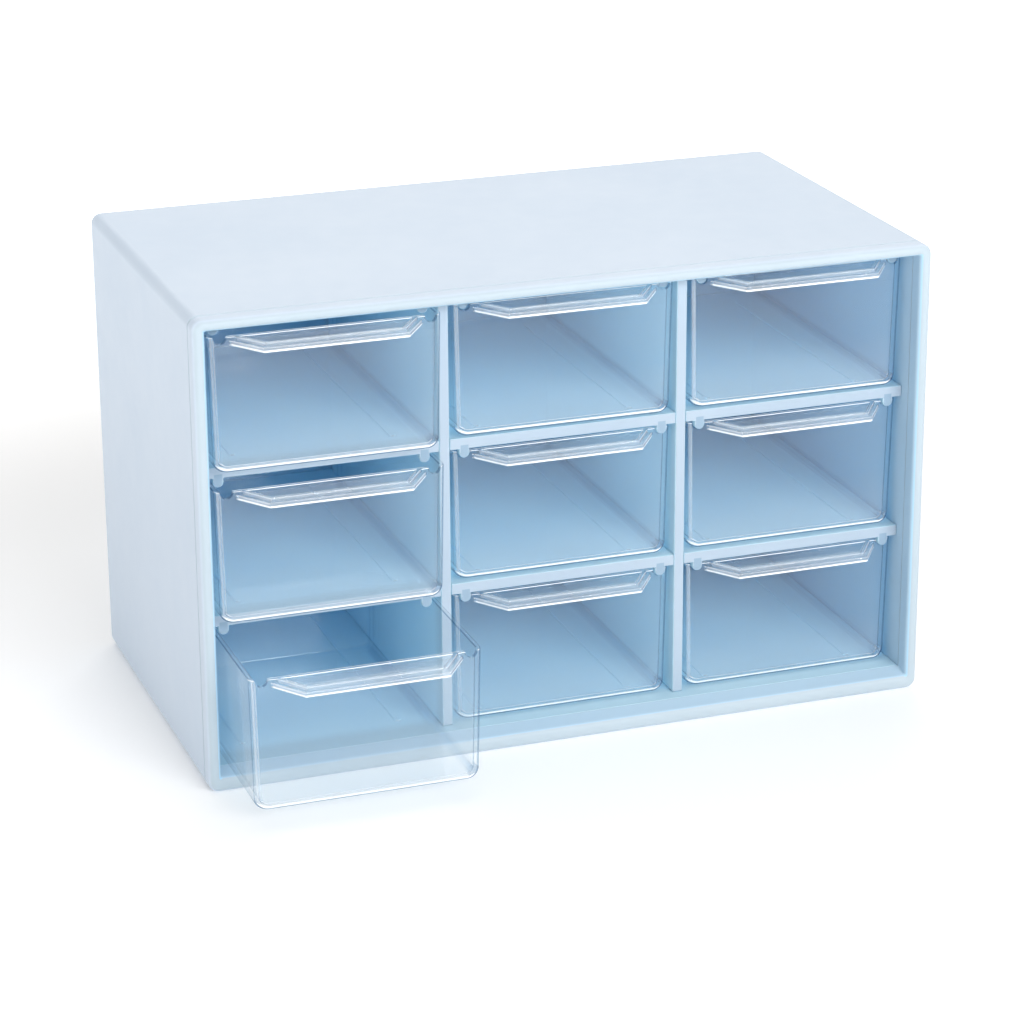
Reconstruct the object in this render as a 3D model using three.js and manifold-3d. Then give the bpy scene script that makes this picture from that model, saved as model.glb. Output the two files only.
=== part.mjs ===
// Desktop parts organizer: a moulded cabinet with a three by three grid of clear pull-out drawers.
// Millimetres, +Z up, drawers open towards -Y. The origin is the centre of the cabinet's base.
import * as THREE from "three";
import { mergeVertices } from "three/addons/utils/BufferGeometryUtils.js";
import Module from "manifold-3d";

// Cabinet
const cabinetWidth = 230;
const cabinetDepth = 126;
const cabinetHeight = 145;
const cornerRadius = 3.2;
const sideWall = 3.8;
const endWall = 3.4;           // top and bottom walls of the outer shell
const rimDepth = 5.5;          // front face to the seam between rim and shell
const rimBottomLip = 4.8;
const rimRounding = 1.4;
const rimStock = 11;           // depth of the rim's block before it is cut back to the seam
const backPanelThickness = 2.5;
const jointGap = 0.1;          // clearance between fixed pieces that butt together
const seamGap = 0.3;
const joinDepth = 0.5;         // how far a raised detail is sunk into what it stands on

// Grid
const columns = ["left", "middle", "right"];
const rows = ["lower", "centre", "upper"];
const gridRecess = 10;         // front face to the fronts of the dividers and shelves
const dividerThickness = 3.2;
const shelfThickness = 3.4;
const cellHeight = 42.4;
const floorHeight = 6.1;       // top of the bottom board

// Stop nubs, which hang at each cell's front, and the low runners that the drawers ride on
const nubWidth = 3.2;
const nubDrop = 2.8;
const nubDepth = 2.4;
const nubInset = 4.6;          // nub centre to the cell's side wall
const runnerWidth = 1.9;
const runnerHeight = 0.4;
const runnerInset = 11.5;      // runner centre to the cell's side wall
const runnerStart = 8.7;       // grid front to the runner's front end
const runnerLength = 92;

// Drawers
const drawerWidth = 69.8;
const drawerHeight = 41;
const drawerLength = 108;
const sideDraft = 0.8;         // how far each side leans in from rim to floor
const endDraft = 0.3;          // the same for the front and back
const drawerWall = 1.5;
const drawerCorner = 3;
const sideFloorRadius = 3.4;   // rounding between a side and the floor
const endFloorRadius = 1.9;    // rounding between the front or back and the floor
const drawerLift = 0.45;       // drawer floor above the cell floor
const closedSetback = 0.9;     // closed drawer front behind the grid front
const notchClearance = 0.35;   // round a nub, as the notched front passes it
const smallestCorner = 0.6;
const cutClearance = 1;        // how far a cutting block runs past what it cuts

// Handle: a tapered ledge under the front wall's edge, with a raised bead round its free sides
const handleBase = 57.6;
const handleFront = 43;
const handleReach = 10.6;
const handleThickness = 1.7;
const beadHeight = 1;
const beadWidth = 1.2;
const beadInset = 1.3;

// How far each drawer stands open, from the lower row up
const pulledOut = {
  lower: { left: 42, middle: 0, right: 0 },
  centre: { left: 10.5, middle: 0, right: 0 },
  upper: { left: 9, middle: 2, right: 1.2 },
};

const frontY = -cabinetDepth / 2;
const backY = cabinetDepth / 2;
const gridFrontY = frontY + gridRecess;
const shellFrontY = frontY + rimDepth;
const boardFrontY = shellFrontY + seamGap;
const innerWidth = cabinetWidth - 2 * sideWall;
const innerHeight = cabinetHeight - 2 * endWall;
const gridBackY = backY - backPanelThickness - seamGap;
const cellWidth = (innerWidth - 2 * dividerThickness) / 3;
const cellPitch = cellWidth + dividerThickness;
const rowPitch = cellHeight + shelfThickness;
const ceilingHeight = floorHeight + 3 * cellHeight + 2 * shelfThickness;
const nubOverlap = nubDrop - (cellHeight - drawerLift - drawerHeight);
const cornerSegments = 4;
const rimSegments = 3;
const outerFloorSegments = 4;
const innerFloorSegments = 3;
const weldDistance = 1e-4;

const wasm = await Module();
wasm.setup();

const shellMaterial = new THREE.MeshStandardMaterial({ color: 0xc3d8ea, roughness: 0.38, metalness: 0 });
const drawerMaterial = new THREE.MeshStandardMaterial({
  color: 0xe4eef6,
  roughness: 0.08,
  metalness: 0,
  transparent: true,
  opacity: 0.35,
});

function toSolid(geometry) {
  const bare = geometry.clone();
  bare.deleteAttribute("normal");
  bare.deleteAttribute("uv");
  const merged = mergeVertices(bare, weldDistance);
  return new wasm.Manifold(new wasm.Mesh({
    numProp: 3,
    vertProperties: Float32Array.from(merged.attributes.position.array),
    triVerts: Uint32Array.from(merged.index.array),
  }));
}

function toGeometry(solid) {
  const mesh = solid.getMesh();
  const geometry = new THREE.BufferGeometry();
  geometry.setAttribute("position", new THREE.BufferAttribute(mesh.vertProperties, 3));
  geometry.setIndex(new THREE.BufferAttribute(mesh.triVerts, 1));
  geometry.computeVertexNormals();
  return geometry;
}

// A box given by its lowest and highest corners.
function boxBetween(low, high) {
  const size = high.map((value, axis) => value - low[axis]);
  const geometry = new THREE.BoxGeometry(...size);
  geometry.translate(...low.map((value, axis) => value + size[axis] / 2));
  return geometry;
}

// Traces a rectangle with round corners on a Shape or Path, counter-clockwise.
function traceRoundedRectangle(path, left, bottom, right, top, radius) {
  path.moveTo(left + radius, bottom);
  path.lineTo(right - radius, bottom);
  path.absarc(right - radius, bottom + radius, radius, -Math.PI / 2, 0);
  path.lineTo(right, top - radius);
  path.absarc(right - radius, top - radius, radius, 0, Math.PI / 2);
  path.lineTo(left + radius, top);
  path.absarc(left + radius, top - radius, radius, Math.PI / 2, Math.PI);
  path.lineTo(left, bottom + radius);
  path.absarc(left + radius, bottom + radius, radius, Math.PI, 1.5 * Math.PI);
  return path;
}

// Extrudes an outline drawn in X and Z from startY towards the back.
function extrudeBack(shape, startY, depth, options = {}) {
  const geometry = new THREE.ExtrudeGeometry(shape, {
    depth,
    bevelEnabled: false,
    curveSegments: cornerSegments,
    ...options,
  });
  geometry.rotateX(Math.PI / 2);
  geometry.translate(0, startY + depth, 0);
  return geometry;
}

function outerShell() {
  const half = cabinetWidth / 2;
  const outline = traceRoundedRectangle(new THREE.Shape(), -half, 0, half, cabinetHeight, cornerRadius);
  const side = innerWidth / 2;
  const ceiling = cabinetHeight - endWall;
  const hollow = [[-side, endWall], [side, endWall], [side, ceiling], [-side, ceiling]];
  outline.holes.push(new THREE.Path(hollow.map(([x, z]) => new THREE.Vector2(x, z))));
  return extrudeBack(outline, boardFrontY, backY - boardFrontY);
}

// The rim's opening narrows towards the bottom board, so it is cut with a wedge-sided block.
function rimOpening() {
  const profile = new THREE.Shape();
  const ceiling = cabinetHeight - endWall;
  profile.moveTo(frontY - cutClearance, rimBottomLip);
  profile.lineTo(frontY + rimRounding, rimBottomLip);
  profile.lineTo(shellFrontY, floorHeight);
  profile.lineTo(shellFrontY + cutClearance, floorHeight);
  profile.lineTo(shellFrontY + cutClearance, ceiling);
  profile.lineTo(frontY - cutClearance, ceiling);
  profile.closePath();
  const geometry = new THREE.ExtrudeGeometry(profile, { depth: innerWidth, bevelEnabled: false });
  geometry.rotateX(Math.PI / 2);
  geometry.rotateZ(Math.PI / 2);
  geometry.translate(-innerWidth / 2, 0, 0);
  return geometry;
}

function frontRim() {
  const half = cabinetWidth / 2 - rimRounding;
  const outline = traceRoundedRectangle(
    new THREE.Shape(),
    -half,
    rimRounding,
    half,
    cabinetHeight - rimRounding,
    cornerRadius - rimRounding,
  );
  const block = extrudeBack(outline, frontY + rimRounding, rimStock, {
    bevelEnabled: true,
    bevelThickness: rimRounding,
    bevelSize: rimRounding,
    bevelSegments: rimSegments,
  });
  const behind = boxBetween(
    [-cabinetWidth, shellFrontY, -rimDepth],
    [cabinetWidth, shellFrontY + 2 * rimStock, cabinetHeight + rimDepth],
  );
  return toGeometry(toSolid(block).subtract(toSolid(behind)).subtract(toSolid(rimOpening())));
}

function backPanel() {
  const half = innerWidth / 2 - jointGap;
  return boxBetween(
    [-half, backY - backPanelThickness, endWall + jointGap],
    [half, backY, cabinetHeight - endWall - jointGap],
  );
}

// A peg centred on x, with a flat top and a round lower end.
function roundEndedPeg(x, bottomZ, topZ, radius, startY, depth) {
  const outline = new THREE.Shape();
  outline.moveTo(x + radius, topZ);
  outline.lineTo(x - radius, topZ);
  outline.lineTo(x - radius, bottomZ + radius);
  outline.absarc(x, bottomZ + radius, radius, Math.PI, 2 * Math.PI);
  outline.closePath();
  return extrudeBack(outline, startY, depth);
}

function nub(x, ceilingZ) {
  return roundEndedPeg(x, ceilingZ - nubDrop, ceilingZ + joinDepth, nubWidth / 2, gridFrontY, nubDepth);
}

function runner(x, floorZ) {
  const startY = gridFrontY + runnerStart;
  return boxBetween(
    [x - runnerWidth / 2, startY, floorZ - joinDepth],
    [x + runnerWidth / 2, startY + runnerLength, floorZ + runnerHeight],
  );
}

function mirroredAbout(centre, inset) {
  return [centre - cellWidth / 2 + inset, centre + cellWidth / 2 - inset];
}

// A board between low and high corners, with nubs under it and runners on it for the given cells.
function board(low, high, cellCentres, { nubs, runners }) {
  let solid = toSolid(boxBetween(low, high));
  for (const centre of cellCentres) {
    if (nubs) {
      for (const x of mirroredAbout(centre, nubInset)) solid = solid.add(toSolid(nub(x, low[2])));
    }
    if (runners) {
      for (const x of mirroredAbout(centre, runnerInset)) solid = solid.add(toSolid(runner(x, high[2])));
    }
  }
  return toGeometry(solid);
}

const columnCentres = columns.map((name, index) => (index - 1) * cellPitch);

function topBoard() {
  const half = innerWidth / 2 - jointGap;
  const top = cabinetHeight - endWall - jointGap;
  return board(
    [-half, boardFrontY, ceilingHeight],
    [half, gridBackY, top],
    columnCentres,
    { nubs: true, runners: false },
  );
}

function bottomBoard() {
  const half = innerWidth / 2 - jointGap;
  return board(
    [-half, boardFrontY, endWall + jointGap],
    [half, gridBackY, floorHeight],
    columnCentres,
    { nubs: false, runners: true },
  );
}

function divider(centreX) {
  return boxBetween(
    [centreX - dividerThickness / 2, gridFrontY, floorHeight + jointGap],
    [centreX + dividerThickness / 2, gridBackY, ceilingHeight - jointGap],
  );
}

function shelf(centreX, bottomZ) {
  const half = cellWidth / 2 - jointGap;
  return board(
    [centreX - half, gridFrontY, bottomZ],
    [centreX + half, gridBackY, bottomZ + shelfThickness],
    [centreX],
    { nubs: true, runners: true },
  );
}

// One level of the drawer's wall: a rounded rectangle at height z, inset from the rim's outline.
function drawerRing(sideInset, endInset, z) {
  const depthBelowRim = 1 - z / drawerHeight;
  const left = -drawerWidth / 2 + sideDraft * depthBelowRim + sideInset;
  const front = endDraft * depthBelowRim + endInset;
  const back = drawerLength - front;
  const radius = Math.max(drawerCorner - Math.min(sideInset, endInset), smallestCorner);
  const outline = traceRoundedRectangle(new THREE.Shape(), left, front, -left, back, radius);
  return outline.getPoints(cornerSegments).slice(0, -1).map((point) => [point.x, point.y, z]);
}

// Joins rings of equal point counts into one closed surface, capped at its first and last ring.
function skinRings(rings) {
  const count = rings[0].length;
  const positions = rings.flat(2);
  const faces = [];
  for (let level = 0; level < rings.length - 1; level += 1) {
    for (let index = 0; index < count; index += 1) {
      const next = (index + 1) % count;
      const lower = level * count;
      const upper = lower + count;
      faces.push(lower + index, lower + next, upper + next);
      faces.push(lower + index, upper + next, upper + index);
    }
  }
  const last = (rings.length - 1) * count;
  for (let index = 1; index < count - 1; index += 1) {
    faces.push(0, index + 1, index);
    faces.push(last, last + index, last + index + 1);
  }
  const geometry = new THREE.BufferGeometry();
  geometry.setAttribute("position", new THREE.Float32BufferAttribute(positions, 3));
  geometry.setIndex(faces);
  geometry.computeVertexNormals();
  return geometry;
}

// How far a rounding of the given radius stands in from its wall at a height above its floor.
function roundingInset(radius, height) {
  const below = Math.max(radius - height, 0);
  return radius - Math.sqrt(radius * radius - below * below);
}

// Levels from a floor at baseZ up past the wider of its two roundings.
function floorRounding(inset, baseZ, steps) {
  const sideRadius = sideFloorRadius - inset;
  const endRadius = endFloorRadius - inset;
  return Array.from({ length: steps + 1 }, (unused, step) => {
    const height = sideRadius * (1 - Math.cos((step / steps) * (Math.PI / 2)));
    return drawerRing(
      inset + roundingInset(sideRadius, height),
      inset + roundingInset(endRadius, height),
      baseZ + height,
    );
  });
}

function drawerTray() {
  return skinRings([
    ...floorRounding(0, 0, outerFloorSegments),
    drawerRing(0, 0, drawerHeight),
    drawerRing(drawerWall, drawerWall, drawerHeight),
    ...floorRounding(drawerWall, drawerWall, innerFloorSegments).reverse(),
  ]);
}

// The ledge's plan outline, drawn in from its free sides by inset.
function handlePlan(inset) {
  const slope = (handleBase - handleFront) / 2 / handleReach;
  const sideShift = inset * Math.hypot(1, slope);
  const tipY = inset - handleReach;
  const rootY = drawerWall / 2;
  const halfWidthAt = (y) => handleFront / 2 + (y + handleReach) * slope - sideShift;
  const corners = [
    [-halfWidthAt(tipY), tipY],
    [halfWidthAt(tipY), tipY],
    [halfWidthAt(rootY), rootY],
    [-halfWidthAt(rootY), rootY],
  ];
  return new THREE.Shape(corners.map(([x, y]) => new THREE.Vector2(x, y)));
}

function extrudeUp(shape, bottomZ, height) {
  const geometry = new THREE.ExtrudeGeometry(shape, { depth: height, bevelEnabled: false });
  geometry.translate(0, 0, bottomZ);
  return toSolid(geometry);
}

function drawerHandle() {
  const ledgeTop = drawerHeight - beadHeight;
  const ledge = extrudeUp(handlePlan(0), ledgeTop - handleThickness, handleThickness);
  const bead = extrudeUp(handlePlan(beadInset), ledgeTop - beadHeight, 2 * beadHeight);
  const insideBead = extrudeUp(handlePlan(beadInset + beadWidth), ledgeTop, 2 * beadHeight);
  const wall = toSolid(boxBetween([-handleBase, 0, 0], [handleBase, drawerWall, drawerHeight]));
  return ledge.add(bead).subtract(insideBead.subtract(wall));
}

// Two notches in the front wall's edge let it pass the nubs, which then stop the uncut back wall.
function drawer() {
  let solid = toSolid(drawerTray()).add(drawerHandle());
  for (const x of mirroredAbout(0, nubInset)) {
    solid = solid.subtract(toSolid(roundEndedPeg(
      x,
      drawerHeight - nubOverlap - notchClearance,
      drawerHeight + cutClearance,
      nubWidth / 2 + notchClearance,
      -cutClearance,
      drawerCorner + 2 * cutClearance,
    )));
  }
  return toGeometry(solid);
}

function named(name, geometry, material) {
  const mesh = new THREE.Mesh(geometry, material);
  mesh.name = name;
  return mesh;
}

const organizer = new THREE.Group();

const cabinet = new THREE.Group();
cabinet.add(named("outer_shell", outerShell(), shellMaterial));
cabinet.add(named("front_rim", frontRim(), shellMaterial));
cabinet.add(named("back_panel", backPanel(), shellMaterial));
cabinet.add(named("grid_top_board", topBoard(), shellMaterial));
cabinet.add(named("grid_bottom_board", bottomBoard(), shellMaterial));
cabinet.add(named("divider_left", divider(-cellPitch / 2), shellMaterial));
cabinet.add(named("divider_right", divider(cellPitch / 2), shellMaterial));
["lower", "upper"].forEach((level, index) => {
  const bottomZ = floorHeight + cellHeight + index * rowPitch;
  columns.forEach((column, position) => {
    cabinet.add(named(`shelf_${level}_${column}`, shelf(columnCentres[position], bottomZ), shellMaterial));
  });
});
organizer.add(cabinet);

const drawers = new THREE.Group();
rows.forEach((row, level) => {
  columns.forEach((column, position) => {
    const mesh = named(`drawer_${row}_${column}`, drawer(), drawerMaterial);
    mesh.position.set(
      columnCentres[position],
      gridFrontY + closedSetback - pulledOut[row][column],
      floorHeight + drawerLift + level * rowPitch,
    );
    drawers.add(mesh);
  });
});
organizer.add(drawers);

export default organizer;
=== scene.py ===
"""Looks of the desktop parts organizer: a satin blue cabinet with clear drawers, on a white floor."""
import math

import bmesh
import bpy
from mathutils import Matrix, Vector


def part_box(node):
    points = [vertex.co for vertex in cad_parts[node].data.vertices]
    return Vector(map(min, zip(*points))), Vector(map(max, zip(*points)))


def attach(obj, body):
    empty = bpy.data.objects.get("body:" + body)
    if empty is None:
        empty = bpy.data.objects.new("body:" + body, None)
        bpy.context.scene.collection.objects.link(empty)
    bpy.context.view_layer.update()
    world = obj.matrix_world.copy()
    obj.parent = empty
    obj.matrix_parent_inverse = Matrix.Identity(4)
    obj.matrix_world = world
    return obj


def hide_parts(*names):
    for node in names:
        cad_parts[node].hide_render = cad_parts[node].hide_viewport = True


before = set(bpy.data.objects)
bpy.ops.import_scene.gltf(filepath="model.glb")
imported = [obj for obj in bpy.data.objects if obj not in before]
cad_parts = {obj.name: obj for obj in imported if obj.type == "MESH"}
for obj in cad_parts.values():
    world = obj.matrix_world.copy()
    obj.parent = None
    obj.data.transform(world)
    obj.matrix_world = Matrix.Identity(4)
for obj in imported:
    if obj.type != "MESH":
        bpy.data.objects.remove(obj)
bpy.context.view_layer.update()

MM = 0.001
ROWS = ("lower", "centre", "upper")
COLUMNS = ("left", "middle", "right")
SHELL_NODES = ("outer_shell", "front_rim", "back_panel")
ROUND_STEPS = 8

# Cabinet details, in metres
JOINT_GAP = 0.1 * MM
SHELL_CORNER = 3.2 * MM
INNER_CORNER = 0.4 * MM
RIM_BOTTOM_LIP = 4.8 * MM
RIM_ROUNDING = 1.75 * MM
SEAM_CHAMFER = 0.35 * MM
BACK_ROUNDING = 1.6 * MM
PANEL_EDGE = 0.45 * MM
BOARD_EDGE = 0.3 * MM
NUB_WIDTH = 3.2 * MM
NUB_DROP = 2.8 * MM
NUB_DEPTH = 2.4 * MM
NUB_INSET = 4.6 * MM
NUB_EDGE = 0.35 * MM
SAME_LEVEL = 0.05 * MM
SILL_DEPTH = 9.0 * MM
RUNNER_WIDTH = 1.9 * MM
RUNNER_HEIGHT = 0.4 * MM
RUNNER_INSET = 11.5 * MM
RUNNER_START = 8.7 * MM
RUNNER_LENGTH = 92.0 * MM
RUNNER_EDGE = 0.15 * MM

# Drawer details, in metres
SIDE_DRAFT = 0.8 * MM
END_DRAFT = 0.3 * MM
DRAWER_WALL = 1.5 * MM
DRAWER_CORNER = 3.0 * MM
SIDE_FLOOR_ROUND = 3.4 * MM
END_FLOOR_ROUND = 1.9 * MM
DRAWER_RIM_ROUND = 0.4 * MM
SMALLEST_CORNER = 0.7 * MM
NOTCH_CLEARANCE = 0.35 * MM
NOTCH_OVERSHOOT = 2.0 * MM
HANDLE_BASE = 57.6 * MM
HANDLE_FRONT = 43.0 * MM
HANDLE_REACH = 10.6 * MM
HANDLE_THICKNESS = 1.7 * MM
BEAD_HEIGHT = 1.0 * MM
BEAD_WIDTH = 1.2 * MM
BEAD_INSET = 1.3 * MM
LEDGE_ROUND = 0.45 * MM
BEAD_ROUND = 0.3 * MM
CUT_EDGE = 0.1 * MM

# Blue plastic, as the two ends of its clouding. Apart from the shell's outside, these are lighter
# and darker copies of one plastic that paint light and shade by which way a face looks: painted
# shade on the rim fronts, the inner walls, the grid's front edges, the sills and the nubs, and
# painted light on the cell walls in place of light bouncing about in the cells
SHELL_TINTS = ((0.58, 0.67, 0.775), (0.605, 0.69, 0.79))
RIM_SHADE_TINTS = ((0.445, 0.53, 0.59), (0.46, 0.545, 0.605))
INNER_SHADE_TINTS = ((0.40, 0.64, 0.82), (0.415, 0.655, 0.83))
EDGE_SHADE_TINTS = ((0.395, 0.485, 0.58), (0.41, 0.50, 0.595))
SILL_SHADE_TINTS = ((0.49, 0.68, 0.78), (0.505, 0.695, 0.79))
RIM_SILL_SHADE_TINTS = ((0.44, 0.59, 0.71), (0.455, 0.605, 0.72))
NUB_SHADE_TINTS = ((0.27, 0.38, 0.49), (0.285, 0.395, 0.505))
CELL_LIGHT_TINTS = ((0.61, 0.86, 0.98), (0.625, 0.87, 0.985))
BLUE_ROUGHNESS = (0.44, 0.52)
BLUE_SPECULAR = 0.28
PLASTIC_IOR = 1.5

# Where a cabinet face stops looking to the front, by the y of its normal, and where it starts to
# look in to the cabinet's middle, which is where the painted light and shade tints change
TURNS_ASIDE = (-0.9, -0.4)
LOOKS_IN = (0.0, -0.02)

# Clear plastic: a faint blue cast, with painted shade and painted dark outlines on its roundings, and a
# white body that paints highlights along its edges
CLEAR_CAST = ((0.978, 0.992, 1.0), (0.986, 0.996, 1.0))
TURNING_SHADE = ((0.80, 0.89, 0.96), (0.84, 0.92, 0.97))
OUTLINE_SHADE = ((0.46, 0.57, 0.68), (0.51, 0.61, 0.71))
# The white body's tints, for its faint milkiness and for the painted highlights and light
MILKY_AND_HIGHLIGHT_TINTS = ((0.93, 0.96, 0.985), (0.96, 0.98, 0.995))
CLEAR_SHINE = 0.028
GRAZING_SHINE = 0.5
BACK_TURNING_SHADE = 0.3
FLOOR_LINE_LOSS = 0.8
# Painted highlights along the front's foot and the upright edges, fading towards the back
FRONT_EDGE_HIGHLIGHT = 0.95
UPRIGHT_EDGE_HIGHLIGHT = 0.32
BACK_EDGE_HIGHLIGHT = 0.05
FLAT_HAZE = 0.03
# Painted light low on the drawer's front wall
LOW_FRONT_LIGHT = 0.07
LOW_FRONT_TOP = 20.0 * MM
LEDGE_HAZE = 0.13
# Painted highlights along the handle's edges and its lower lip
LEDGE_EDGE_HIGHLIGHT = 0.5
LEDGE_LIP_HIGHLIGHT = 1.0
LEDGE_LIP_TOP = 39.2 * MM
LEDGE_LIP_SOFTNESS = 0.3 * MM

# Where a drawer's rounding starts and ends, by the largest part of its normal, by how far it looks
# away, or by how far it tilts up or down: this places the painted shade, dark outlines and highlights
EDGE_NORMALS = (0.93, 0.73)
OUTLINE_NORMALS = (0.995, 0.95)
OUTLINE_FACING = (0.42, 0.56)
FOOT_TILT_START = (0.1, 0.3)
FOOT_TILT_END = (0.7, 0.5)
LIP_TILT_END = (0.9, 0.7)

# Textures: noise scales in cells per metre, and each bump's strength and height
CLOUD_SCALE = 22
GLOSS_SCALE = 160
WAVE_SCALE = 34
GRAIN_SCALE = 1400
CAST_SCALE = 30
RIPPLE_SCALE = 28
MILK_SCALE = 60
FLOOR_SCALE = 3
WAVE_BUMP = (0.12, 0.6 * MM)
GRAIN_BUMP = (0.015, 0.05 * MM)
RIPPLE_BUMP = (0.05, 0.5 * MM)
NOISE_SPAN = (0.3, 0.7)
TINT_STOPS = (0.35, 0.65)

# Studio
FLOOR_HALF = 3.0
FLOOR_LEVEL = -0.15 * MM
FLOOR_TINTS = ((0.93, 0.932, 0.935), (0.94, 0.942, 0.945))
FLOOR_GLOW_TINTS = ((1.0, 0.965, 0.92), (1.0, 1.0, 1.0))
FLOOR_GLOW_SPAN = (0.2, 0.5)
FLOOR_NEAR_GLOW = 0.13
FLOOR_FAR_GLOW = 0.6
WORLD_LIGHT = 0.3
WORLD_SEEN = 1.0
LIGHT_TARGET = (0, 0, 0.07)
LIGHTS = (
    # name, place, size, watts
    ("key_softbox", (0.5, -1.95, 0.95), (1.3, 0.5), 30),
    ("high_softbox", (-0.1, -1.75, 1.25), (1.3, 0.7), 6),
    ("top_softbox", (0, 0, 1.6), (1.6, 1.6), 8.0),
    ("left_fill", (-1.9, 0.5, 0.35), (1.0, 0.6), 4.6),
    ("front_left_softbox", (-1.5, -1.6, 0.5), (1.0, 0.6), 6.5),
    ("back_softbox", (0.5, 1.7, 1.3), (1.4, 1.0), 10.5),
)

# Camera, from the cabinet's centre
CAMERA_AZIMUTH = math.radians(-19.6)
CAMERA_ELEVATION = math.radians(20.1)
CAMERA_ROLL = math.radians(-0.31)
CAMERA_DISTANCE = 1.0555
CAMERA_SLIDE = 0.0022
CAMERA_LIFT = -0.0190
CAMERA_LENS_MM = 118.0
SENSOR_MM = 36.0


def lerp(start, end, amount):
    return start + (end - start) * amount


def places_between(start, end, steps=6):
    """Places at equal steps on the way from start to end, without the two ends."""
    return [lerp(start, end, step / steps) for step in range(1, steps)]


def arc(start, sweep=90, steps=6):
    """Points along a unit circle from a start angle, in degrees, as (cos, sin) pairs."""
    angles = [math.radians(start + sweep * step / steps) for step in range(steps + 1)]
    return [(math.cos(angle), math.sin(angle)) for angle in angles]


# ---------------------------------------------------------------- mesh building


def rounded_rectangle(low, high, radius):
    """Corner-rounded rectangle as (u, v) points, counter-clockwise."""
    corners = (
        (high[0] - radius, low[1] + radius, -90),
        (high[0] - radius, high[1] - radius, 0),
        (low[0] + radius, high[1] - radius, 90),
        (low[0] + radius, low[1] + radius, 180),
    )
    points = []
    for centre_u, centre_v, start in corners:
        for across, up in arc(start, steps=ROUND_STEPS):
            points.append((centre_u + radius * across, centre_v + radius * up))
    return points


def add_object(name, data):
    obj = bpy.data.objects.new(name, data)
    bpy.context.scene.collection.objects.link(obj)
    return obj


def mesh_object(name, vertices, faces):
    """A mesh in the scene, with its faces turned outwards."""
    mesh = bpy.data.meshes.new(name)
    mesh.from_pydata([tuple(vertex) for vertex in vertices], [], faces)
    obj = add_object(name, mesh)
    face_outwards(obj)
    return obj


def face_outwards(obj):
    work = bmesh.new()
    work.from_mesh(obj.data)
    bmesh.ops.recalc_face_normals(work, faces=work.faces)
    work.to_mesh(obj.data)
    work.free()


def skin_rings(name, rings, looped=False):
    """A closed mesh through rings of equal point counts, looped like a tyre or capped at both ends."""
    count = len(rings[0])
    vertices = [point for ring in rings for point in ring]
    faces = []
    for level in range(len(rings) if looped else len(rings) - 1):
        here = level * count
        there = (level + 1) % len(rings) * count
        for index in range(count):
            after = (index + 1) % count
            faces.append((here + index, here + after, there + after, there + index))
    if not looped:
        faces.append(tuple(reversed(range(count))))
        faces.append(tuple(range(len(vertices) - count, len(vertices))))
    return mesh_object(name, vertices, faces)


def soft_box(name, low, high, radius):
    """A box between two corners with every edge rounded."""
    work = bmesh.new()
    bmesh.ops.create_cube(work, size=1.0)
    size = Vector(high) - Vector(low)
    middle = (Vector(high) + Vector(low)) / 2
    for vertex in work.verts:
        vertex.co = Vector(a * b for a, b in zip(vertex.co, size)) + middle
    bmesh.ops.bevel(work, geom=work.edges[:], offset=radius, segments=3, profile=0.5, affect="EDGES")
    mesh = bpy.data.meshes.new(name)
    work.to_mesh(mesh)
    work.free()
    return add_object(name, mesh)


def extrude_outline(name, outline, direction, bevel):
    """A closed prism from an outline of points, along direction, with its end edges rounded."""
    count = len(outline)
    far = [Vector(point) + Vector(direction) for point in outline]
    faces = [tuple(reversed(range(count))), tuple(range(count, 2 * count))]
    for index in range(count):
        after = (index + 1) % count
        faces.append((index, after, count + after, count + index))
    obj = mesh_object(name, list(outline) + far, faces)
    axis = Vector(direction).normalized()
    work = bmesh.new()
    work.from_mesh(obj.data)
    ends = [face for face in work.faces if abs(face.normal.dot(axis)) > 0.99]
    edges = {edge for face in ends for edge in face.edges}
    bmesh.ops.bevel(work, geom=list(edges), offset=bevel, segments=3, profile=0.5, affect="EDGES")
    work.to_mesh(obj.data)
    work.free()
    return obj


def combine(base, others, operation):
    """Joins others to base or cuts them from it, and deletes them."""
    for other in others:
        modifier = base.modifiers.new("combine", "BOOLEAN")
        modifier.operation = operation
        modifier.solver = "EXACT"
        modifier.object = other
        apply_modifiers(base)
        bpy.data.objects.remove(other)
    return base


def apply_modifiers(obj):
    bpy.context.view_layer.update()
    evaluated = obj.evaluated_get(bpy.context.evaluated_depsgraph_get())
    mesh = bpy.data.meshes.new_from_object(evaluated)
    obj.modifiers.clear()
    obj.data = mesh


def shade(obj, angle=32):
    """Smooth shading that keeps flat faces flat beside their rounded edges."""
    obj.data.shade_smooth()
    obj.data.set_sharp_from_angle(angle=math.radians(angle))
    modifier = obj.modifiers.new("even_normals", "WEIGHTED_NORMAL")
    modifier.keep_sharp = True
    modifier.weight = 90


# ---------------------------------------------------------------- materials


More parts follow.
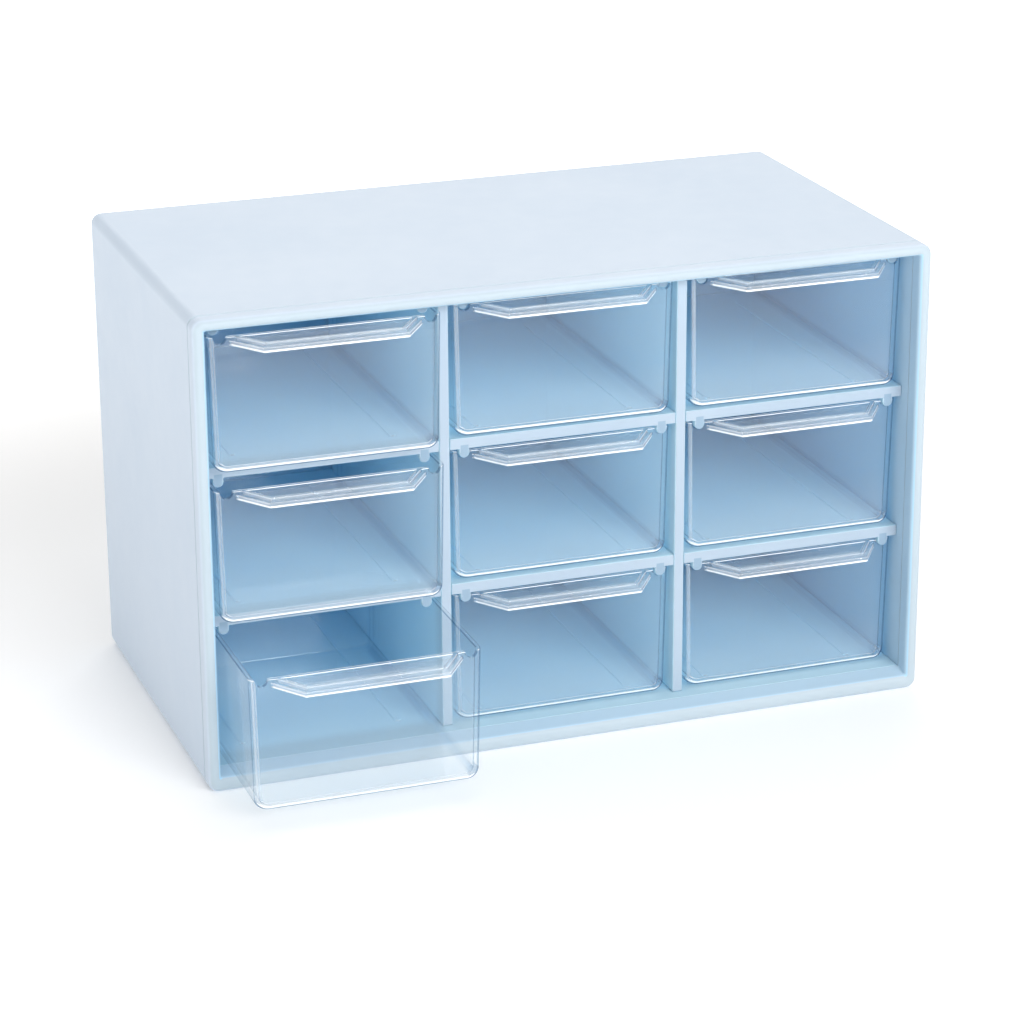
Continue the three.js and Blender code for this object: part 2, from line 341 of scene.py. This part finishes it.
class Nodes:
    """Short names for building one node material."""

    def __init__(self, name):
        self.material = bpy.data.materials.new(name)
        self.material.use_nodes = True
        self.tree = self.material.node_tree
        self.shader = self.tree.nodes["Principled BSDF"]
        self.output = self.tree.nodes["Material Output"]
        self.coordinates = self.add("ShaderNodeTexCoord")

    def add(self, kind, **values):
        node = self.tree.nodes.new(kind)
        for key, value in values.items():
            setattr(node, key, value)
        return node

    def link(self, source, target):
        self.tree.links.new(source, target)

    def noise(self, scale, detail=3.0):
        node = self.add("ShaderNodeTexNoise")
        node.inputs["Scale"].default_value = scale
        node.inputs["Detail"].default_value = detail
        self.link(self.place(), node.inputs["Vector"])
        return node.outputs["Fac"]

    def place(self):
        return self.coordinates.outputs["Object"]

    def tint(self, value, *colours):
        """The first colour up to the lower of the two stops, and the second from the upper one."""
        node = self.add("ShaderNodeValToRGB")
        for element, stop, colour in zip(node.color_ramp.elements, TINT_STOPS, colours):
            element.position = stop
            element.color = (*colour, 1)
        self.link(value, node.inputs["Fac"])
        return node.outputs["Color"]

    def bump(self, height, strength, distance, previous=None):
        node = self.add("ShaderNodeBump")
        node.inputs["Strength"].default_value = strength
        node.inputs["Distance"].default_value = distance
        self.link(height, node.inputs["Height"])
        if previous is not None:
            self.link(previous, node.inputs["Normal"])
        return node.outputs["Normal"]

    def calculate(self, operation, first, second=0.0, third=0.0):
        node = self.add("ShaderNodeMath", operation=operation)
        for socket, value in zip(node.inputs, (first, second, third)):
            if isinstance(value, float):
                socket.default_value = value
            else:
                self.link(value, socket)
        return node.outputs["Value"]

    def mix(self, share, first, second):
        node = self.add("ShaderNodeMixShader")
        self.link(share, node.inputs["Fac"])
        self.link(first, node.inputs[1])
        self.link(second, node.inputs[2])
        return node.outputs["Shader"]

    def mirror_share(self):
        """How much a clear wall mirrors: a little head on, and about half at a grazing angle."""
        grazing = self.calculate("POWER", self.facing(), 5.0)
        return self.calculate("MULTIPLY_ADD", grazing, GRAZING_SHINE, CLEAR_SHINE)

    def blend(self, share, first, second):
        node = self.add("ShaderNodeMix", data_type="RGBA")
        sockets = [socket for socket in node.inputs if socket.type == "RGBA"]
        self.link(share, node.inputs["Factor"])
        self.link(first, sockets[0])
        self.link(second, sockets[1])
        return next(socket for socket in node.outputs if socket.type == "RGBA")

    def outward(self):
        """How far a face looks away from the cabinet's middle, below zero where it looks in."""
        from_middle = self.add("ShaderNodeVectorMath", operation="SUBTRACT")
        self.link(self.place(), from_middle.inputs[0])
        from_middle.inputs[1].default_value = cad_centre()
        facing = self.add("ShaderNodeVectorMath", operation="DOT_PRODUCT")
        self.link(from_middle.outputs["Vector"], facing.inputs[0])
        self.link(self.coordinates.outputs["Normal"], facing.inputs[1])
        return facing.outputs["Value"]

    def ramp(self, value, start, end, low=0.0, high=1.0, kind="SMOOTHSTEP"):
        """A step from low to high while value goes from start to end."""
        node = self.add("ShaderNodeMapRange", interpolation_type=kind)
        for socket, number in zip(("From Min", "From Max", "To Min", "To Max"), (start, end, low, high)):
            node.inputs[socket].default_value = number
        self.link(value, node.inputs["Value"])
        return node.outputs["Result"]

    def axes(self, kind):
        """The x, y and z of the object's own coordinates or normals."""
        parts = self.add("ShaderNodeSeparateXYZ")
        self.link(self.coordinates.outputs[kind], parts.inputs["Vector"])
        return [parts.outputs[axis] for axis in "XYZ"]

    def turning(self, start, end):
        """0 on the drawer's flat faces, up to 1 where a rounding turns from one face to the next."""
        sizes = [self.calculate("ABSOLUTE", part) for part in self.axes("Normal")]
        largest = self.calculate("MAXIMUM", self.calculate("MAXIMUM", sizes[0], sizes[1]), sizes[2])
        return self.ramp(largest, start, end)

    def facing(self):
        """0 for a face seen head on, up to 1 for one seen edge on."""
        weight = self.add("ShaderNodeLayerWeight")
        weight.inputs["Blend"].default_value = 0.5
        return weight.outputs["Facing"]

    def outline(self):
        """1 along the painted dark outline where a rounding turns out of sight, and less along the
        floor.
        """
        _, depth, height = self.axes("Object")
        on_floor = self.ramp(height, SIDE_FLOOR_ROUND + MM, SIDE_FLOOR_ROUND)
        behind = self.ramp(depth, DRAWER_CORNER, 3 * DRAWER_CORNER, 0.0, FLOOR_LINE_LOSS)
        kept = self.calculate("SUBTRACT", 1.0, self.calculate("MULTIPLY", on_floor, behind))
        away = self.ramp(self.facing(), *OUTLINE_FACING)
        edge_on = self.calculate("MULTIPLY", self.turning(*OUTLINE_NORMALS), away)
        return self.calculate("MULTIPLY", edge_on, kept)

    def ledge_highlight_share(self, height, tilt):
        """Painted highlights along the handle's edges, brightest along its lower lip."""
        low = self.ramp(height, LEDGE_LIP_TOP, LEDGE_LIP_TOP - LEDGE_LIP_SOFTNESS, 0.0, LEDGE_LIP_HIGHLIGHT)
        lip = self.calculate("MULTIPLY", low, self.ramp(tilt, *LIP_TILT_END))
        rounding = self.calculate("MULTIPLY", self.turning(*EDGE_NORMALS), LEDGE_EDGE_HIGHLIGHT)
        return self.calculate("MAXIMUM", lip, rounding)

    def wall_highlight_share(self, depth, tilt):
        """Painted highlights on the walls' roundings: a little, and more along the foot of the front."""
        starts = self.ramp(tilt, *FOOT_TILT_START)
        ends = self.ramp(tilt, *FOOT_TILT_END)
        foot = self.calculate("MULTIPLY", self.calculate("MULTIPLY", starts, ends), FRONT_EDGE_HIGHLIGHT)
        upright = self.calculate("MULTIPLY", self.turning(*EDGE_NORMALS), UPRIGHT_EDGE_HIGHLIGHT)
        at_front = self.ramp(depth, 2 * DRAWER_CORNER, DRAWER_CORNER, BACK_EDGE_HIGHLIGHT, 1.0)
        return self.calculate("MULTIPLY", self.calculate("MAXIMUM", foot, upright), at_front)

    def flat_milk_and_light_share(self, depth, height):
        """How milky the flat faces are, a little more in the handle, with painted light low on the front
        wall.
        """
        low = self.ramp(height, 0.0, LOW_FRONT_TOP, LOW_FRONT_LIGHT, FLAT_HAZE)
        in_front_wall = self.ramp(depth, DRAWER_CORNER, DRAWER_WALL)
        low_front = self.calculate("MULTIPLY", low, in_front_wall)
        return self.calculate("MAXIMUM", low_front, self.ramp(depth, 0.0, -MM, FLAT_HAZE, LEDGE_HAZE))

    def milk_and_highlight_share(self):
        """How much of the white body shows, from 0 for glass-clear to 1 for white: a faint milkiness,
        painted highlights along the edges and painted light low on the front wall.
        """
        _, depth, height = self.axes("Object")
        tilt = self.calculate("ABSOLUTE", self.axes("Normal")[2])
        on_ledge = self.ramp(depth, 0.0, -MM)
        of_ledge = self.calculate("MULTIPLY", on_ledge, self.ledge_highlight_share(height, tilt))
        on_wall = self.calculate("SUBTRACT", 1.0, self.calculate("MAXIMUM", on_ledge, self.outline()))
        of_wall = self.calculate("MULTIPLY", on_wall, self.wall_highlight_share(depth, tilt))
        edges = self.calculate("MAXIMUM", of_ledge, of_wall)
        return self.calculate("MAXIMUM", edges, self.flat_milk_and_light_share(depth, height))


def blue_plastic(name, front_tints, side_tints, inner_tints, sill_tints, has_outside=False):
    """Satin moulded plastic: faint flow clouding, a fine grain and slow waviness.

    Faces at the front, faces at the sides, faces that look in to the cabinet's middle, and sills
    just behind the front each have their own lighter or darker tint, painted light and shade of one
    plastic. A piece with an outside has sills only inside.
    """
    nodes = Nodes(name)
    clouding = nodes.noise(CLOUD_SCALE, detail=4)
    sideways = nodes.ramp(nodes.axes("Normal")[1], *TURNS_ASIDE)
    inwards = nodes.ramp(nodes.outward(), *LOOKS_IN)
    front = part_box("divider_left")[0].y
    shallow = nodes.ramp(nodes.axes("Object")[1], front + SILL_DEPTH, front + MM)
    on_sill = nodes.calculate("MULTIPLY", shallow, sideways)
    if has_outside:
        on_sill = nodes.calculate("MULTIPLY", on_sill, inwards)
    # Painted light and shade: a lighter or darker tint for each way a face looks
    colour = nodes.tint(clouding, *front_tints)
    for share, tints in ((sideways, side_tints), (inwards, inner_tints), (on_sill, sill_tints)):
        colour = nodes.blend(share, colour, nodes.tint(clouding, *tints))
    nodes.link(colour, nodes.shader.inputs["Base Color"])
    roughness = nodes.ramp(nodes.noise(GLOSS_SCALE), *NOISE_SPAN, *BLUE_ROUGHNESS, kind="LINEAR")
    nodes.link(roughness, nodes.shader.inputs["Roughness"])
    waviness = nodes.bump(nodes.noise(WAVE_SCALE, detail=1), *WAVE_BUMP)
    grain = nodes.noise(GRAIN_SCALE, detail=2)
    nodes.link(nodes.bump(grain, *GRAIN_BUMP, waviness), nodes.shader.inputs["Normal"])
    nodes.shader.inputs["IOR"].default_value = PLASTIC_IOR
    nodes.shader.inputs["Specular IOR Level"].default_value = BLUE_SPECULAR
    return nodes.material


def clear_plastic():
    """Polished clear styrene: see-through with a faint blue cast and glossy, with painted shade and dark
    outlines on its roundings, painted highlights along its edges, and painted light low on its front.
    """
    nodes = Nodes("clear_plastic")
    through = nodes.add("ShaderNodeBsdfTransparent")
    cast = nodes.noise(CAST_SCALE, detail=2)
    # Painted shade: the see-through colour darkens on the roundings near the front, and more along their
    # painted dark outlines
    near_front = nodes.ramp(nodes.axes("Object")[1], 4 * DRAWER_CORNER, DRAWER_CORNER, BACK_TURNING_SHADE, 1.0)
    edge = nodes.calculate("MULTIPLY", nodes.turning(*EDGE_NORMALS), near_front)
    colour = nodes.blend(edge, nodes.tint(cast, *CLEAR_CAST), nodes.tint(cast, *TURNING_SHADE))
    colour = nodes.blend(nodes.outline(), colour, nodes.tint(cast, *OUTLINE_SHADE))
    nodes.link(colour, through.inputs["Color"])
    ripple = nodes.bump(nodes.noise(RIPPLE_SCALE, detail=1), *RIPPLE_BUMP)
    mirror = nodes.add("ShaderNodeBsdfGlossy")
    mirror.inputs["Roughness"].default_value = 0.04
    nodes.link(ripple, mirror.inputs["Normal"])
    clear = nodes.mix(nodes.mirror_share(), through.outputs["BSDF"], mirror.outputs["BSDF"])
    body = nodes.shader
    nodes.link(nodes.tint(nodes.noise(MILK_SCALE), *MILKY_AND_HIGHLIGHT_TINTS), body.inputs["Base Color"])
    body.inputs["Roughness"].default_value = 0.25
    body.inputs["IOR"].default_value = PLASTIC_IOR
    nodes.link(ripple, body.inputs["Normal"])
    # The white body: a faint milkiness, and painted highlights and light where the masks put it
    surface = nodes.mix(nodes.milk_and_highlight_share(), clear, body.outputs["BSDF"])
    nodes.link(surface, nodes.output.inputs["Surface"])
    return nodes.material


def floor_paint():
    """White floor with painted light: a faint warm glow near the cabinet that lightens its shadow, more
    glow towards the horizon, and see-through from below.
    """
    nodes = Nodes("studio_floor")
    shader = nodes.shader
    nodes.link(nodes.tint(nodes.noise(FLOOR_SCALE), *FLOOR_TINTS), shader.inputs["Base Color"])
    shader.inputs["Roughness"].default_value = 0.8
    shader.inputs["Specular IOR Level"].default_value = 0.1
    reach = nodes.add("ShaderNodeVectorMath", operation="LENGTH")
    nodes.link(nodes.place(), reach.inputs[0])
    distance = reach.outputs["Value"]
    glow = nodes.ramp(distance, *FLOOR_GLOW_SPAN, FLOOR_NEAR_GLOW, FLOOR_FAR_GLOW)
    nodes.link(glow, shader.inputs["Emission Strength"])
    far = nodes.ramp(distance, *FLOOR_GLOW_SPAN, *TINT_STOPS)
    nodes.link(nodes.tint(far, *FLOOR_GLOW_TINTS), shader.inputs["Emission Color"])
    from_below = nodes.add("ShaderNodeNewGeometry").outputs["Backfacing"]
    through = nodes.add("ShaderNodeBsdfTransparent")
    paint = nodes.mix(from_below, shader.outputs["BSDF"], through.outputs["BSDF"])
    nodes.link(paint, nodes.output.inputs["Surface"])
    return nodes.material


# ---------------------------------------------------------------- cabinet


def cabinet_sizes():
    """The places that the cabinet's pieces share, all read from the frame."""
    shell_low, shell_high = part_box("outer_shell")
    rim_low, rim_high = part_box("front_rim")
    panel_low, panel_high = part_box("back_panel")
    divider_low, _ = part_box("divider_left")
    bottom_low, bottom_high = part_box("grid_bottom_board")
    return {
        "outer": ((rim_low.x, rim_low.z), (rim_high.x, rim_high.z)),
        "inner": (
            (bottom_low.x - JOINT_GAP, panel_low.z - JOINT_GAP),
            (bottom_high.x + JOINT_GAP, panel_high.z + JOINT_GAP),
        ),
        "front": rim_low.y,
        "seam": rim_high.y,
        "shell_front": shell_low.y,
        "back": shell_high.y,
        "grid_front": divider_low.y,
        "floor": bottom_high.z - RUNNER_HEIGHT,
    }


def tube_ring(sizes, amount, y, lip=0.0):
    """A ring at depth y, between the cabinet's outside (amount 0) and its opening (amount 1)."""
    (left, bottom), (right, top) = sizes["outer"]
    (inner_left, inner_bottom), (inner_right, inner_top) = sizes["inner"]
    low = (lerp(left, inner_left, amount), lerp(bottom, inner_bottom + lip, amount))
    high = (lerp(right, inner_right, amount), lerp(top, inner_top, amount))
    radius = lerp(SHELL_CORNER, INNER_CORNER, amount)
    return [(u, y, v) for u, v in rounded_rectangle(low, high, radius)]


def outer_shell(sizes):
    """A rounded rectangular tube, chamfered at the seam and rounded at the back."""
    wall = sizes["inner"][0][0] - sizes["outer"][0][0]
    front, back = sizes["shell_front"], sizes["back"]
    rings = [tube_ring(sizes, SEAM_CHAMFER / wall, front), tube_ring(sizes, 0, front + SEAM_CHAMFER)]
    for y in places_between(front + SEAM_CHAMFER, back - BACK_ROUNDING):
        rings.append(tube_ring(sizes, 0, y))
    for across, along in arc(0):
        amount = BACK_ROUNDING * (1 - across) / wall
        rings.append(tube_ring(sizes, amount, back - BACK_ROUNDING * (1 - along)))
    for across, along in arc(90, steps=3):
        amount = 1 + PANEL_EDGE * (-across - 1) / wall
        rings.append(tube_ring(sizes, amount, back - PANEL_EDGE * (1 - along)))
    rings.append(tube_ring(sizes, 1, front))
    return skin_rings("shell_skin", rings, looped=True)


def front_rim(sizes):
    """A bull-nosed frame whose sill climbs to the floor of the lower cells."""
    wall = sizes["inner"][0][0] - sizes["outer"][0][0]
    front, seam = sizes["front"], sizes["seam"]
    lip = RIM_BOTTOM_LIP - sizes["inner"][0][1]
    sill = sizes["floor"] - sizes["inner"][0][1]
    rings = [tube_ring(sizes, SEAM_CHAMFER / wall, seam), tube_ring(sizes, 0, seam - SEAM_CHAMFER)]
    for along, across in reversed(arc(0)):
        amount = RIM_ROUNDING * (1 - across) / wall
        rings.append(tube_ring(sizes, amount, front + RIM_ROUNDING * (1 - along), lip))
    for along, across in arc(0):
        amount = 1 - RIM_ROUNDING * (1 - across) / wall
        rings.append(tube_ring(sizes, amount, front + RIM_ROUNDING * (1 - along), lip))
    rings.append(tube_ring(sizes, 1, seam, sill))
    return skin_rings("rim_skin", rings, looped=True)


def peg_outline(x, bottom, top, radius, y):
    """The outline of a peg with a flat top and a round lower end, facing the front."""
    middle = bottom + radius
    outline = [(x + radius, y, top), (x - radius, y, top)]
    outline += [(x + radius * across, y, middle + radius * up) for across, up in arc(180, 180, 12)]
    return outline


def nub(x, ceiling, grid_front):
    """A round-ended stop nub under a board's front edge."""
    radius = NUB_WIDTH / 2
    outline = peg_outline(x, ceiling - NUB_DROP, ceiling + radius, radius, grid_front)
    return extrude_outline("nub", outline, (0, NUB_DEPTH, 0), NUB_EDGE)


def runner(x, floor, grid_front):
    """A low round-fronted rail that the drawer slides on."""
    half = RUNNER_WIDTH / 2
    start = grid_front + RUNNER_START + half
    end = start - half + RUNNER_LENGTH
    base = floor - RUNNER_HEIGHT
    outline = [(x + half * across, start + half * along, base) for across, along in arc(180, 180, 12)]
    outline += [(x + half, end, base), (x - half, end, base)]
    return extrude_outline("runner", outline, (0, 0, 2 * RUNNER_HEIGHT), RUNNER_EDGE)


def cell_sides(node_low, node_high):
    """Left and right side of each cell that a node reaches into: all three cells, or only one."""
    panel_low, panel_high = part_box("back_panel")
    first_low, first_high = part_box("divider_left")
    second_low, second_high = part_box("divider_right")
    cells = (
        (panel_low.x, first_low.x),
        (first_high.x, second_low.x),
        (second_high.x, panel_high.x),
    )
    return [(left, right) for left, right in cells if right > node_low.x and left < node_high.x]


def grid_board(node, sizes, has_nubs=True, has_runners=True):
    """A board of the grid, with nubs under its front edge and runners on top where it has them."""
    low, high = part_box(node)
    plate_low = low.copy()
    plate_high = high.copy()
    if has_nubs:
        plate_low.z += NUB_DROP
    if has_runners:
        plate_high.z -= RUNNER_HEIGHT
    plate = soft_box(node + "_skin", plate_low, plate_high, BOARD_EDGE)
    extras = []
    for left, right in cell_sides(low, high):
        if has_nubs:
            places = (left + NUB_INSET, right - NUB_INSET)
            extras += [nub(x, plate_low.z, sizes["grid_front"]) for x in places]
        if has_runners:
            places = (left + RUNNER_INSET, right - RUNNER_INSET)
            extras += [runner(x, plate_high.z, sizes["grid_front"]) for x in places]
    return combine(plate, extras, "UNION")


def paint_nub_shade(board, nub_shade_material):
    """Gives the nubs that hang under a board a darker tint, painted shade for the shade under the board.
    """
    board.data.materials.append(nub_shade_material)
    low = min(vertex.co.z for vertex in board.data.vertices)
    for face in board.data.polygons:
        if face.center.z < low + NUB_DROP - SAME_LEVEL:
            face.material_index = 1


def build_cabinet(shell_material, grid_material, nub_shade_material):
    sizes = cabinet_sizes()
    pieces = {"outer_shell": outer_shell(sizes), "front_rim": front_rim(sizes)}
    pieces["back_panel"] = soft_box("back_panel_skin", *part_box("back_panel"), BOARD_EDGE)
    for node in ("divider_left", "divider_right"):
        pieces[node] = soft_box(node + "_skin", *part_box(node), PANEL_EDGE)
    pieces["grid_top_board"] = grid_board("grid_top_board", sizes, has_runners=False)
    pieces["grid_bottom_board"] = grid_board("grid_bottom_board", sizes, has_nubs=False)
    for level in ("lower", "upper"):
        for column in COLUMNS:
            node = f"shelf_{level}_{column}"
            pieces[node] = grid_board(node, sizes)
    for node, piece in pieces.items():
        piece.data.materials.clear()
        piece.data.materials.append(shell_material if node in SHELL_NODES else grid_material)
        if node == "grid_top_board" or node.startswith("shelf"):
            paint_nub_shade(piece, nub_shade_material)
        shade(piece)
        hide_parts(node)
        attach(piece, "cabinet")


# ---------------------------------------------------------------- drawers


def drawer_ring(size, side_inset, end_inset, z):
    """One level of the drawer's wall: leaning in towards the floor, and inset from its outside."""
    below_rim = 1 - z / size.z
    side = size.x / 2 - SIDE_DRAFT * below_rim - side_inset
    front = END_DRAFT * below_rim + end_inset
    radius = max(DRAWER_CORNER - min(side_inset, end_inset), SMALLEST_CORNER)
    return [(u, v, z) for u, v in rounded_rectangle((-side, front), (side, size.y - front), radius)]


def rounding_inset(radius, height):
    """How far a rounding stands in from its wall at a height above its floor."""
    below = max(radius - height, 0)
    return radius - math.sqrt(radius * radius - below * below)


def floor_rounding(size, inset, base, steps=10):
    """Rings from a floor at base up to the top of the wider of its two roundings."""
    side_radius = SIDE_FLOOR_ROUND - inset
    end_radius = END_FLOOR_ROUND - inset
    rings = []
    for step in range(steps + 1):
        height = side_radius * (1 - math.cos(math.pi / 2 * step / steps))
        side_inset = inset + rounding_inset(side_radius, height)
        end_inset = inset + rounding_inset(end_radius, height)
        rings.append(drawer_ring(size, side_inset, end_inset, base + height))
    return rings


def drawer_tray(size):
    """The drawer without its handle and notches: up the outside, over the rim and down the inside."""
    rings = floor_rounding(size, 0, 0)
    for z in places_between(SIDE_FLOOR_ROUND, size.z - DRAWER_RIM_ROUND):
        rings.append(drawer_ring(size, 0, 0, z))
    for across, up in arc(0, steps=3):
        inset = DRAWER_RIM_ROUND * (1 - across)
        rings.append(drawer_ring(size, inset, inset, size.z - DRAWER_RIM_ROUND * (1 - up)))
    for up, across in arc(0, steps=3):
        inset = DRAWER_WALL - DRAWER_RIM_ROUND * (1 - across)
        rings.append(drawer_ring(size, inset, inset, size.z - DRAWER_RIM_ROUND * (1 - up)))
    for z in places_between(size.z - DRAWER_RIM_ROUND, SIDE_FLOOR_ROUND):
        rings.append(drawer_ring(size, DRAWER_WALL, DRAWER_WALL, z))
    rings += reversed(floor_rounding(size, DRAWER_WALL, DRAWER_WALL))
    return skin_rings("drawer_tray", rings)


def ledge_outline(inset, z):
    """The handle's plan outline at height z, drawn in from its three free sides."""
    slope = (HANDLE_BASE - HANDLE_FRONT) / 2 / HANDLE_REACH
    shift = inset * math.hypot(1, slope)
    tip = inset - HANDLE_REACH
    root = DRAWER_WALL / 2

    def half_width(y):
        return HANDLE_FRONT / 2 + (y + HANDLE_REACH) * slope - shift

    return [
        (-half_width(tip), tip, z),
        (half_width(tip), tip, z),
        (half_width(root), root, z),
        (-half_width(root), root, z),
    ]


def drawer_handle(size):
    """The ledge with its raised bead, as one solid sunk into the drawer's front wall."""
    ledge_top = size.z - BEAD_HEIGHT
    ledge_plan = ledge_outline(0, ledge_top - HANDLE_THICKNESS)
    ledge = extrude_outline("ledge", ledge_plan, (0, 0, HANDLE_THICKNESS), LEDGE_ROUND)
    bead_plan = ledge_outline(BEAD_INSET, ledge_top - BEAD_HEIGHT / 2)
    bead = extrude_outline("bead", bead_plan, (0, 0, 1.5 * BEAD_HEIGHT), BEAD_ROUND)
    well_plan = ledge_outline(BEAD_INSET + BEAD_WIDTH, ledge_top)
    well = extrude_outline("well", well_plan, (0, 0, 2 * BEAD_HEIGHT), CUT_EDGE)
    combine(ledge, [bead], "UNION")
    return combine(ledge, [well], "DIFFERENCE")


def notch_cutter(x, size, nub_overlap):
    """A round-ended slot through the front wall, in which a nub can pass."""
    radius = NUB_WIDTH / 2 + NOTCH_CLEARANCE
    foot = size.z - nub_overlap - NOTCH_CLEARANCE
    outline = peg_outline(x, foot, size.z + NOTCH_OVERSHOOT, radius, -NOTCH_OVERSHOOT)
    return extrude_outline("notch", outline, (0, DRAWER_CORNER + 2 * NOTCH_OVERSHOOT, 0), CUT_EDGE)


def drawer_mesh(size, nub_offset, nub_overlap):
    tray = drawer_tray(size)
    combine(tray, [drawer_handle(size)], "UNION")
    cutters = [notch_cutter(x, size, nub_overlap) for x in (-nub_offset, nub_offset)]
    combine(tray, cutters, "DIFFERENCE")
    return tray


def build_drawers(material):
    """Nine copies of one moulding, each placed where its CAD drawer is."""
    low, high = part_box("drawer_lower_middle")
    size = Vector((high.x - low.x, high.y - low.y - HANDLE_REACH, high.z - low.z))
    left, right = cell_sides(low, high)[0]
    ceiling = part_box("shelf_lower_middle")[0].z + NUB_DROP
    nub_overlap = NUB_DROP - (ceiling - high.z)
    model = drawer_mesh(size, (right - left) / 2 - NUB_INSET, nub_overlap)
    model.data.materials.clear()
    model.data.materials.append(material)
    for row in ROWS:
        for column in COLUMNS:
            node = f"drawer_{row}_{column}"
            low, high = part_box(node)
            piece = add_object(node + "_skin", model.data)
            piece.location = ((low.x + high.x) / 2, low.y + HANDLE_REACH, low.z)
            shade(piece)
            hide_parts(node)
            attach(piece, node)
    bpy.data.objects.remove(model)


# ---------------------------------------------------------------- studio


def add_floor():
    signs = ((-1, -1), (1, -1), (1, 1), (-1, 1))
    corners = [(FLOOR_HALF * across, FLOOR_HALF * along, FLOOR_LEVEL) for across, along in signs]
    floor = mesh_object("floor", corners, [(0, 1, 2, 3)])
    floor.data.materials.append(floor_paint())


def add_area_light(name, place, size, power):
    light = bpy.data.lights.new(name, "AREA")
    light.shape = "RECTANGLE"
    light.size, light.size_y = size
    light.energy = power
    obj = add_object(name, light)
    obj.location = place
    obj.rotation_euler = (Vector(LIGHT_TARGET) - Vector(place)).to_track_quat("-Z", "Y").to_euler()


def add_world():
    """White all round in reflections and through the clear plastic, and dimmer as a light."""
    world = bpy.data.worlds.new("studio_white")
    world.use_nodes = True
    tree = world.node_tree
    background = tree.nodes["Background"]
    background.inputs["Color"].default_value = (1.0, 1.0, 1.0, 1)
    path = tree.nodes.new("ShaderNodeLightPath")
    seen = path.outputs["Is Camera Ray"]
    for kind in ("Is Glossy Ray", "Is Transmission Ray"):
        either = tree.nodes.new("ShaderNodeMath")
        either.operation = "MAXIMUM"
        tree.links.new(seen, either.inputs[0])
        tree.links.new(path.outputs[kind], either.inputs[1])
        seen = either.outputs["Value"]
    strength = tree.nodes.new("ShaderNodeMapRange")
    strength.inputs["To Min"].default_value = WORLD_LIGHT
    strength.inputs["To Max"].default_value = WORLD_SEEN
    tree.links.new(seen, strength.inputs["Value"])
    tree.links.new(strength.outputs["Result"], background.inputs["Strength"])
    bpy.context.scene.world = world


def add_lights():
    for light in LIGHTS:
        add_area_light(*light)


def trace_clear_walls():
    """Lets light pass through a row of clear drawers, and bounce about in their walls and cells."""
    paths = bpy.context.scene.cycles
    paths.max_bounces = 14
    paths.diffuse_bounces = 8
    paths.glossy_bounces = 5
    paths.transparent_max_bounces = 40


def add_camera():
    centre = Vector(cad_centre())
    back = Vector((
        math.sin(CAMERA_AZIMUTH) * math.cos(CAMERA_ELEVATION),
        -math.cos(CAMERA_AZIMUTH) * math.cos(CAMERA_ELEVATION),
        math.sin(CAMERA_ELEVATION),
    ))
    level = Vector((0, 0, 1)).cross(back).normalized()
    upright = back.cross(level)
    right = level * math.cos(CAMERA_ROLL) + upright * math.sin(CAMERA_ROLL)
    up = upright * math.cos(CAMERA_ROLL) - level * math.sin(CAMERA_ROLL)
    data = bpy.data.cameras.new("camera")
    data.lens = CAMERA_LENS_MM
    data.sensor_width = SENSOR_MM
    data.clip_end = 50
    camera = add_object("camera", data)
    place = centre + right * CAMERA_SLIDE + up * CAMERA_LIFT + back * CAMERA_DISTANCE
    camera.matrix_world = Matrix.Translation(place) @ Matrix((right, up, back)).transposed().to_4x4()
    bpy.context.scene.camera = camera


def cad_centre():
    """Middle of the cabinet itself, without the drawers that stand open."""
    low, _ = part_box("front_rim")
    _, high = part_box("outer_shell")
    return (low + high) / 2


add_camera()
add_floor()
add_world()
add_lights()
build_cabinet(
    blue_plastic("shell_plastic", RIM_SHADE_TINTS, SHELL_TINTS, INNER_SHADE_TINTS, RIM_SILL_SHADE_TINTS, True),
    blue_plastic("grid_plastic", EDGE_SHADE_TINTS, CELL_LIGHT_TINTS, CELL_LIGHT_TINTS, SILL_SHADE_TINTS),
    blue_plastic("nub_shade_plastic", NUB_SHADE_TINTS, CELL_LIGHT_TINTS, CELL_LIGHT_TINTS, SILL_SHADE_TINTS),
)
build_drawers(clear_plastic())
trace_clear_walls()
bpy.context.scene.view_settings.view_transform = "Standard"
